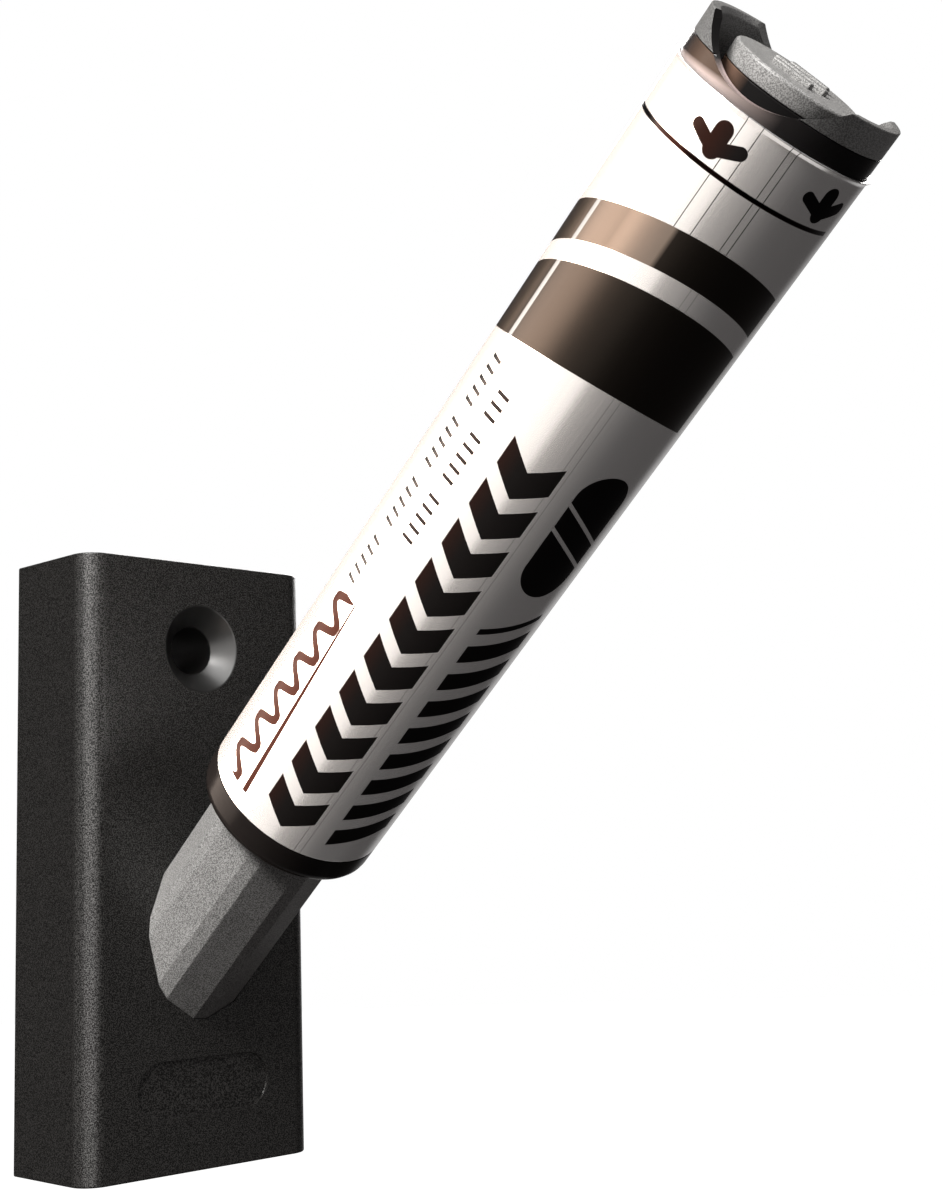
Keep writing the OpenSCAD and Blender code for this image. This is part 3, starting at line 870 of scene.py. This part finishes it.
def box_between(low, high):
    """A plain bar between two corners."""
    bm = bmesh.new()
    bmesh.ops.create_cube(bm, size=1)
    bmesh.ops.scale(bm, vec=Vector(high) - Vector(low), verts=bm.verts)
    bmesh.ops.translate(bm, vec=(Vector(high) + Vector(low)) / 2, verts=bm.verts)
    return bm


def round_bar(radius, length, place, segments=ROUND_STEPS):
    """A round bar along local Z, centred where its place says."""
    bm = bmesh.new()
    bmesh.ops.create_cone(bm, cap_ends=True, segments=segments, radius1=radius, radius2=radius,
                          depth=length, matrix=place)
    return bm


def upright_edges(bm):
    """The edges that run along Z for more than a millimetre."""
    return [edge for edge in bm.edges if abs(edge.verts[0].co.z - edge.verts[1].co.z) > 1]


def flatted_bar(corner_r, first, last):
    """An eight-sided bar with its corners planed off, as the cap and its socket are."""
    half = asin(CAP_FLAT_W / 2 / cap_r)
    flat_r = corner_r * cos(half)
    side = pi / CAP_FLATS
    place = Matrix.Translation((0, 0, (first + last) / 2)) @ Matrix.Rotation(CAP_ROLL - side, 4, "Z")
    bm = round_bar(flat_r / cos(side), last - first, place, CAP_FLATS)
    planed = flat_r * tan(side) - corner_r * sin(half)
    soften(bm, upright_edges(bm), planed, 1)
    return bm


print("Cap from", round(cap_end, 2), "to", round(cap_mouth, 2), "mm, radius over corners", round(cap_r, 2))

# %% [markdown]
# The hollow is a bar with the inner walls taken out of it, and the block is a bar with the hollow taken
# out.

# %% Block and its hollow
BLOCK_EDGE_R = 2.5
BLOCK_EDGE_STEPS = 18
BLOCK_SOFT = 0.18
BLOCK_SHARP = radians(40)
BLOCK_WALL = 2.2
BLOCK_FRONT = 2.4
RIB = 1.6
SCREW_R = 2.5
HEAD_R = 4.5
BOSS_R = 5.5
SOCKET_GAP = 0.1
SOCKET_WALL = 1.6
SOCKET_FLOOR = 1.4
SEAT_GAP = 0.05
PAST = 2.0
UPRIGHT = Matrix.Identity(4)
ALONG_Y = Matrix.Rotation(pi / 2, 4, "X")
block_size = block_high - block_low
socket_bottom = cap_end - SEAT_GAP


def rounded_block():
    bm = box_between(block_low, block_high)
    front = [edge for edge in upright_edges(bm) if edge.verts[0].co.y < block_low.y + 1]
    soften(bm, front, BLOCK_EDGE_R, BLOCK_EDGE_STEPS)
    soften(bm, sharp_edges(bm, BLOCK_SHARP), BLOCK_SOFT, 3)
    return bm


def block_hollow():
    inner_low = block_low + Vector((BLOCK_WALL, BLOCK_FRONT, BLOCK_WALL))
    inner_high = block_high + Vector((-BLOCK_WALL, PAST, -BLOCK_WALL))
    bm = box_between(inner_low, inner_high)
    housing = flatted_bar(cap_r + SOCKET_GAP + SOCKET_WALL, socket_bottom - SOCKET_FLOOR, block_size.y)
    housing.transform(ON_AXIS)
    walls = [housing, round_bar(BOSS_R, 4 * block_size.y, ALONG_Y)]
    bay = (block_size.x - 2 * BLOCK_WALL) / 3
    half = RIB / 2
    level = SOCKET.z / 2
    for side in (-bay / 2, bay / 2):
        low = (side - half, block_low.y, block_low.z)
        walls.append(box_between(low, (side + half, PAST * 2, block_high.z)))
    low = (block_low.x, block_low.y, level - half)
    walls.append(box_between(low, (block_high.x, PAST * 2, level + half)))
    for wall_bar in walls:
        bm = combine(bm, wall_bar)
    return bm


block = combine(rounded_block(), block_hollow())
print("Block and hollow:", len(block.faces), "faces")

# %% [markdown]
# The screw hole is a turned cutter whose rim flares by a hair, so the countersink has no razor edge. The
# blank plate is a round-ended bar that only scratches the surface. The faces of the hole look at its axis,
# which is how they are found and given the smooth finish.

# %% Holes and plate
PLATE_W = 16.0
PLATE_H = 5.6
PLATE_SINK = 0.3
PLATE_UP = 8.2
PLATE_STEPS = 64
PLATE_SOFT = 0.12
PLATE_SHARP = radians(60)
RIM_EASE = 0.14
RIM_FLARE = 0.004
FLARE_OUT = 1.0
FACES_FRONT = 0.98


def screw_cutter():
    depth = block_size.y
    flare = HEAD_R + FLARE_OUT
    bm = turned([(0, -PAST), (SCREW_R, -PAST), (SCREW_R, depth - (HEAD_R - SCREW_R), 0.1),
                 (HEAD_R, depth, RIM_EASE), (flare, depth + RIM_FLARE), (flare, depth + PAST),
                 (0, depth + PAST)], ring=False)
    bm.transform(ALONG_Y)
    return bm


def plate_cutter():
    place = Matrix.Translation((0, block_low.y, block_low.z + PLATE_UP)) @ ALONG_Y
    end_r = PLATE_H / 2
    reach_x = PLATE_W / 2 - end_r
    bm = round_bar(end_r, 2 * PLATE_SINK, UPRIGHT, PLATE_STEPS)
    for vertex in bm.verts:
        vertex.co.x += reach_x if vertex.co.x > 0 else -reach_x
    soften(bm, sharp_edges(bm, PLATE_SHARP), PLATE_SOFT)
    bm.transform(place)
    return bm


block = combine(block, screw_cutter())
socket_cutter = flatted_bar(cap_r + SOCKET_GAP, socket_bottom, block_size.y + PAST)
socket_cutter.transform(ON_AXIS)
block = combine(block, socket_cutter)
block = combine(block, plate_cutter())
smooth_reach = HEAD_R + RIM_EASE / 2
for face in block.faces:
    middle = face.calc_center_median()
    outward = Vector((middle.x, 0, middle.z))
    in_hole = outward.length < smooth_reach and abs(face.normal.y) < FACES_FRONT
    face.material_index = int(in_hole and face.normal.dot(outward) < 0)
BLOCK_FINISHES = [BLOCK_GRAIN, BLOCK_SMOOTH]
hand_over("wall_block", block, BLOCK_FINISHES, "holder", "holder_block", UPRIGHT)

# %% [markdown]
# ## The cap
# The cap is an eight-sided bar with its corners planed off, bored from one end. Its long edges are crisp
# but not sharp, so they get a very small bevel before the bore is cut.

# %% Cap
CAP_BORE_R = 5.2
CAP_END = 1.4
CAP_BEVEL = 0.9
CAP_SOFT = 0.09
CAP_SHARP = radians(15)
CAP_LEAD = 0.4


def cap():
    bm = flatted_bar(cap_r, cap_end, cap_mouth)
    rim = [edge for edge in bm.edges if max(vertex.co.z for vertex in edge.verts) < cap_end + 0.1]
    bmesh.ops.bevel(bm, geom=rim, offset=CAP_BEVEL, affect="EDGES", segments=1, profile=0.5, material=-1)
    soften(bm, sharp_edges(bm, CAP_SHARP), CAP_SOFT)
    floor = cap_end + CAP_END
    flare = CAP_BORE_R + FLARE_OUT
    bore = turned([(0, floor), (CAP_BORE_R, floor, 0.3), (CAP_BORE_R, cap_mouth - CAP_LEAD, 0.1),
                   (CAP_BORE_R + CAP_LEAD, cap_mouth, 0.06), (flare, cap_mouth + RIM_FLARE),
                   (flare, cap_mouth + PAST), (0, cap_mouth + PAST)], ring=False)
    return combine(bm, bore)


hand_over("faceted_cap", cap(), [CAP_GREY], "cap", "cap_shell")

# %% [markdown]
# ## The nose and the nib
# Under the cap the marker ends in a white nose that tapers to a bullet nib. The whole nose is one turned
# piece with the plug that closes the barrel, and the nib's round tip is one eased corner.

# %% Nose and nib
nib_tip, nib_back, nib_r = reach("nib")
nose_front, plug_end, plug_r = reach("nose_section")
seal_first, seal_last, seal_r = reach("plug_seal")
liner_mouth = reach("cap_liner")[1]
collar_front, collar_back, collar_r = reach("front_collar")
NOSE_TIP_R = 3.5
NOSE_ROOT_R = 5.05
TAPER = 8.0
ROOM_R = 6.2
ROOM_WALL = 2.0
WICK_BORE_R = 1.55
NIB_EASE = 0.98
FIT = 0.05


def nose():
    seal_t = seal_last - seal_first
    groove_r = seal_r - seal_t - FIT
    bore_r = nib_r + FIT
    taper_first = liner_mouth + FIT
    room_first = collar_back + ROOM_WALL
    return turned([
        (bore_r, nose_front, 0.15), (NOSE_TIP_R, nose_front, 0.6), (NOSE_TIP_R, taper_first, 0.5),
        (NOSE_ROOT_R, taper_first + TAPER, 0.5), (NOSE_ROOT_R, collar_back), (plug_r, collar_back, 0.2),
        (plug_r, seal_first - FIT), (groove_r, seal_first - FIT), (groove_r, seal_last + FIT),
        (plug_r, seal_last + FIT), (plug_r, plug_end), (ROOM_R, plug_end), (ROOM_R, room_first),
        (WICK_BORE_R, room_first), (WICK_BORE_R, nib_back), (bore_r, nib_back),
    ])


def bullet_nib():
    profile = [(0, nib_tip), (nib_r, nib_tip, nib_r * NIB_EASE), (nib_r, nib_back), (0, nib_back)]
    return turned(profile, ring=False)


hand_over("tapered_nose", nose(), [INNER_WHITE], "marker", "nose_section")
hand_over("bullet_nib", bullet_nib(), [INK_FIBRE], "marker", "nib")

# %% [markdown]
# ## Collar and film
# The gloss collar closes the barrel's front and has one generous rounded edge. The film is a thin sleeve
# that ends in a small bead, where it was shrunk over the end of the tube.

# %% Collar and film
COLLAR_ROUND = 1.2
FILM_T = 0.15
BEAD_LEN = 0.4


def collar():
    hole_r = NOSE_ROOT_R + FIT
    return turned([(hole_r, collar_front, 0.12), (collar_r, collar_front, COLLAR_ROUND),
                   (collar_r, collar_back, 0.08), (hole_r, collar_back)])


def film():
    inner_r = film_r - FILM_T
    return turned([(inner_r, film_front), (film_r, film_front, 0.06), (film_r, film_end - BEAD_LEN, 0.12),
                   (bead_r, film_end, 0.14), (inner_r, film_end, 0.06)])


hand_over("gloss_collar", collar(), [GLOSS_BLACK], "marker", "front_collar")
hand_over("printed_sleeve", film(), [FILM_PRINT_AND_REFLECTIONS], "marker", "label_film")

# %% [markdown]
# ## The tail
# The tail is a ring with a floor round the button. One round cut right across it leaves two wings that
# guard the button and lets a thumb reach it. The black band sits in a step under the wings and is cut by
# the same stroke, so one function cuts both. It also marks the fresh faces of the cut on the thumb's side,
# which lie on the cutter's round wall and face its middle, and they get the cut rim's painted light and
# shade.

# %% Crown and band
crown_first, wing_tip, crown_r = reach("tail_crown")
barrel_last = reach("barrel_tube")[1]
button_r = reach("push_button")[2]
SCOOP_R = 8.3
SCOOP_UP = 0.9
SCOOP_TURN = radians(202.5)
CROWN_BORE_R = 7.6
CROWN_HOLE_R = 5.9
CROWN_FLOOR = 1.8
BAND_T = 0.6
WING_BEVEL = 0.4
SCOOP_STEPS = 220
CUT_NEAR = 0.02
RIM_OVER = 0.3


def scooped(bm, marked_to):
    """Takes the thumb scoop out of a tail piece, and marks the cut up to a station."""
    middle = barrel_last + SCOOP_UP + SCOOP_R
    turn = Matrix.Rotation(SCOOP_TURN, 4, "Z") @ Matrix.Rotation(pi / 2, 4, "Y")
    place = Matrix.Translation((0, 0, middle)) @ turn
    bm = combine(bm, round_bar(SCOOP_R, 5 * SCOOP_R, place, SCOOP_STEPS))
    front = Vector((cos(SCOOP_TURN), sin(SCOOP_TURN), 0))
    flank = Vector((-sin(SCOOP_TURN), cos(SCOOP_TURN), 0))
    for face in bm.faces:
        centre = face.calc_center_median()
        off = flank * centre.dot(flank) + Vector((0, 0, centre.z - middle))
        on_cut = abs(off.length - SCOOP_R) < CUT_NEAR and face.normal.dot(off) < 0
        marked = centre.z < marked_to or centre.dot(flank) < 0
        face.material_index = int(on_cut and marked and centre.dot(front) > 0)
    return bm


def crown():
    floor_top = crown_first + CROWN_FLOOR
    neck_r = crown_r - BAND_T - FIT
    step = band_last + FIT
    bm = turned([(CROWN_HOLE_R, crown_first), (plug_r, crown_first), (plug_r, band_first),
                 (neck_r, band_first), (neck_r, step), (crown_r, step, 0.05), (crown_r, wing_tip, 0.1),
                 (CROWN_BORE_R + WING_BEVEL, wing_tip, 0.06), (CROWN_BORE_R, wing_tip - WING_BEVEL, 0.1),
                 (CROWN_BORE_R, floor_top, 0.2), (CROWN_HOLE_R, floor_top, 0.1)])
    return scooped(bm, step + RIM_OVER)


def band():
    inner_r = band_r - BAND_T
    bm = turned([(inner_r, band_first), (band_r, band_first, 0.05), (band_r, band_last, 0.05),
                 (inner_r, band_last)])
    return scooped(bm, wing_tip)


hand_over("winged_crown", crown(), [CROWN_GREY, CUT_RIM_LIGHT_AND_SHADE], "marker", "tail_crown")
hand_over("gloss_band", band(), [BAND_INK_AND_REFLECTIONS, CUT_RIM_LIGHT_AND_SHADE], "marker", "tail_band")

# %% [markdown]
# ## The push button
# The button is a grey disc on a black body. Three raised bars on the disc keep a thumb from slipping, and
# they are joined to it with a Boolean so the disc is one closed skin. The body has a ledge that keeps it
# under the crown's floor.

# %% Button and body
button_first, button_last, _ = reach("push_button")
body_first, body_last, ledge_r = reach("button_body")
GRIP_H = 0.44
GRIP_W = 0.9
GRIP_PITCH = 2.0
GRIP_LEN = 5.0
GRIP_SHORTER = 0.25
GRIP_SOFT = 0.16
PEG_R = 2.5
PEG_LEN = 1.2
LEDGE_T = 1.2
STEM_BORE_R = 1.85
STEM_DEPTH = 2.4
button_top = button_last - GRIP_H
disc_under = button_first + PEG_LEN


def button():
    bm = turned([(0, button_first), (PEG_R, button_first), (PEG_R, disc_under),
                 (button_r, disc_under, 0.12), (button_r, button_top, 0.3), (0, button_top)], ring=False)
    turn = Matrix.Rotation(SCOOP_TURN, 4, "Z")
    for step in (-1, 0, 1):
        length = GRIP_LEN * (1 - abs(step) * GRIP_SHORTER)
        half = Vector((GRIP_W / 2, length / 2, GRIP_H))
        bar = box_between(-half, half)
        top = [edge for edge in bar.edges if max(vertex.co.z for vertex in edge.verts) > 0]
        soften(bar, top, GRIP_SOFT, 3)
        bar.transform(turn @ Matrix.Translation((step * GRIP_PITCH, 0, button_top)))
        bm = combine(bm, bar, "UNION")
    return bm


def button_body():
    peg_r = PEG_R + FIT
    peg_floor = disc_under - PEG_LEN - FIT
    ceiling = body_first + STEM_DEPTH
    ledge_top = body_first + LEDGE_T
    return turned([(0, ceiling), (STEM_BORE_R, ceiling), (STEM_BORE_R, body_first),
                   (ledge_r, body_first, 0.15), (ledge_r, ledge_top, 0.15), (button_r, ledge_top),
                   (button_r, body_last, 0.1), (peg_r, body_last), (peg_r, peg_floor), (0, peg_floor)],
                  ring=False)


hand_over("thumb_button", button(), [BUTTON_GREY], "button", "push_button")
hand_over("button_barrel", button_body(), [BODY_BLACK_AND_LIGHT], "button", "button_body")

# %% [markdown]
# ## The return spring
# A spring is one spin as well: a small circle goes round the axis several times and climbs a little at
# each step. It stands on a seat in the marker and the button's ledge presses its top, which squashes it
# towards its seat when the button goes down; it is drawn here at the length of the frame's spring.

# %% Spring
spring_first, spring_last, spring_outer = reach("return_spring")
WIRE_R = 0.35
WIRE_SIDES = 12
SPRING_TURNS = 5
TURN_STEPS = 36


def spring():
    bm = bmesh.new()
    start = Matrix.Translation((spring_outer - WIRE_R, 0, spring_first + WIRE_R)) @ ALONG_Y
    bmesh.ops.create_circle(bm, cap_ends=False, radius=WIRE_R, segments=WIRE_SIDES, matrix=start)
    steps = SPRING_TURNS * TURN_STEPS
    rise = (spring_last - spring_first - 2 * WIRE_R) / steps
    bmesh.ops.spin(bm, geom=bm.verts[:] + bm.edges[:], cent=(0, 0, 0), axis=(0, 0, 1), dvec=(0, 0, rise),
                   angle=2 * pi * SPRING_TURNS, steps=steps, use_merge=False)
    bmesh.ops.holes_fill(bm, edges=[edge for edge in bm.edges if edge.is_boundary], sides=0)
    bmesh.ops.recalc_face_normals(bm, faces=bm.faces)
    return bm


coil = hand_over("coil_spring", spring(), [SPRING_WIRE], "marker", "return_spring")
travel = joints["button_press"]["range_m"][1] / MM
1 - travel / (spring_last - spring_first)
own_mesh(coil)

# %% [markdown]
# ## The pieces that stay as they are
# The seals, the feed and the pump keep the frame's own meshes, because their shapes are right and they are
# out of sight. They only get the finishes made above.

# %% Finishes of the inner pieces
INNER_FINISHES = {
    "cap_liner": INNER_WHITE,
    "plug_seal": SEAL_RUBBER,
    "feed_wick": INK_FIBRE,
    "ink_collector": INNER_WHITE,
    "feed_plate": INNER_WHITE,
    "barrel_tube": BARREL_WHITE,
    "pump_housing": INNER_WHITE,
    "check_valve": SEAL_RUBBER,
    "plunger": INNER_WHITE,
    "piston_seal": SEAL_RUBBER,
}
for node, finish in INNER_FINISHES.items():
    mesh = frame["nodes"][node].data
    mesh.materials.clear()
    mesh.materials.append(finish)
print("Finished", len(INNER_FINISHES), "inner pieces")

# %% [markdown]
# ## The studio
# One small strong light from the left falls on everything. The other panels are soft and are linked to a
# few pieces each: a warm wall that the film, the collar and the band mirror, a strip that adds to the
# narrow bright line on the film, whose crisp part over the stripes is a painted highlight, and panels for
# the block's rounded edge and countersink, for the tail and its scoop. The wall's light isn't bounced on,
# so that it tints nothing else.

# %% Lights
AIM_STATION = 45
AIM = (SOCKET + AXIS * AIM_STATION) * MM
UP = Vector((0, 0, 1))
CLEAN_WHITE = (1.0, 0.99, 0.98)
SOFT_WHITE = (1.0, 0.98, 0.96)
WARM_WHITE = (1.0, 0.97, 0.94)
BLOCK = ("wall_block",)
CROWN = ("winged_crown",)
GLOSSY = ("printed_sleeve", "gloss_collar", "gloss_band")
scene.view_settings.view_transform = "Standard"


def panel(name, direction, watts, only=(), size=(0.4, 0.4), colour=SOFT_WHITE, distance=0.6, long_side=UP):
    """A soft rectangular light, so far from the object in that direction, on all pieces or only on some."""
    data = bpy.data.lights.new(name, "AREA")
    data.shape = "RECTANGLE"
    data.size, data.size_y = size
    data.energy = watts
    data.color = colour
    lamp = bpy.data.objects.new(name, data)
    away = Vector(direction).normalized()
    upright = (long_side - away * away.dot(long_side)).normalized()
    turn = Matrix((upright.cross(away), upright, away)).transposed().to_4x4()
    lamp.matrix_world = Matrix.Translation(AIM + away * distance) @ turn
    scene.collection.objects.link(lamp)
    if only:
        lit = bpy.data.collections.new(name + "_lit")
        for piece in only:
            lit.objects.link(bpy.data.objects[piece])
        lamp.light_linking.receiver_collection = lit
    print(name, "light of", watts, "W")
    return lamp


panel("key_panel", (-0.775, -0.244, 0.583), 8.4, (), (0.2, 0.2), (1.0, 0.98, 0.95))
panel("back_panel", (0.66, 0.3, 0.69), 5.2, GLOSSY + ("faceted_cap",))
wall = panel("wall_panel", (-0.73, 0.627, 0.272), 11.2, GLOSSY, (0.477, 0.49), (1.0, 0.82, 0.7), 0.5, AXIS)
wall.data.cycles.max_bounces = 0
panel("low_panel", (-0.939, 0.1163, -0.3237), 0.7, GLOSSY, (0.545, 0.5), (1.0, 0.95, 0.9), 0.5, AXIS)
panel("strip_light", (-0.314, 0.789, 0.529), 0.4, GLOSSY, (0.03, 0.8), (1.0, 0.96, 0.92), 0.48, AXIS)
panel("edge_panel", (-0.743, -0.669, 0.05), 4.3, BLOCK, (0.69, 0.5), WARM_WHITE)
panel("side_panel", (-0.934, 0.358, 0.08), 0.5, BLOCK, (0.25, 0.5), WARM_WHITE)
panel("front_panel", (0.56, -0.82, 0.02), 0.2, BLOCK, (0.5, 0.7), SOFT_WHITE, 0.7)
panel("right_panel", (0.72, 0.5, 0.5), 5.0, BLOCK, (0.4, 0.4), CLEAN_WHITE)
panel("sink_panel", (-0.38, -0.33, 0.86), 5.0, BLOCK, (0.4, 0.4), CLEAN_WHITE)
panel("tail_panel", (0.6, -0.75, -0.3), 0.45, CROWN, (0.3, 0.3), CLEAN_WHITE)
panel("scoop_panel", (-0.863, -0.432, 0.264), 2.3, ("button_barrel",))
panel("under_panel", -AXIS, 1.4, GLOSSY, (0.8, 0.8), SOFT_WHITE, 0.5)
panel("top_panel", (0.1, -0.6, 0.8), 1.6, CROWN + ("thumb_button",), (0.3, 0.3), CLEAN_WHITE)

# %% [markdown]
# The world is white to the camera. To everything else it is a dim room with one pale patch of wall behind
# on the right, with a soft edge. The floor is pale and far below, as the block hangs on a wall, and it is
# kept out of the reflections so that the underside of the barrel stays in shade.

# %% World and floor
WALL_SIDE = Vector((0.8, 0.6, 0.0)).normalized()
ROOM_TONE = (0.082, 0.077, 0.076, 1)
WALL_TONE = (0.6, 0.59, 0.585, 1)
WALL_EDGE = (0.94, 0.1)
WHITE = (1, 1, 1, 1)
FLOOR_DROP = 0.3
FLOOR_R = 4.0
FLOOR_STEPS = 96
FLOOR_CLOUD = 90.0

world = bpy.data.worlds.new("studio")
world.use_nodes = True
scene.world = world
tree = world.node_tree
start = Tone(tree)
look = start.node("ShaderNodeTexCoord", out="Generated")
sockets = {0: look, 1: WALL_SIDE}
side = start.node("ShaderNodeVectorMath", {"operation": "DOT_PRODUCT"}, sockets, out="Value")
room = mix(side.above(*WALL_EDGE), ROOM_TONE, WALL_TONE)
seen = start.node("ShaderNodeLightPath", out="Is Camera Ray")
start.plug(tree.nodes["Background"].inputs["Color"], mix(seen, room, WHITE))

material, place = new_finish("pale_floor")
cloud = grain(place, FLOOR_CLOUD)
finished(material, {
    "Base Color": mix(cloud, grey(0.86), grey(0.9)),
    "Roughness": 0.8,
    "Emission Color": WHITE,
    "Emission Strength": 1.0,
})

bm = bmesh.new()
bmesh.ops.create_circle(bm, cap_ends=True, radius=FLOOR_R, segments=FLOOR_STEPS)
bmesh.ops.translate(bm, vec=(0, 0, cad_box[0][2] - FLOOR_DROP), verts=bm.verts)
mesh = bpy.data.meshes.new("floor")
bm.to_mesh(mesh)
bm.free()
mesh.materials.append(material)
floor = bpy.data.objects.new("floor", mesh)
floor.visible_diffuse = False
floor.visible_glossy = False
scene.collection.objects.link(floor)
print("World and floor are in place")
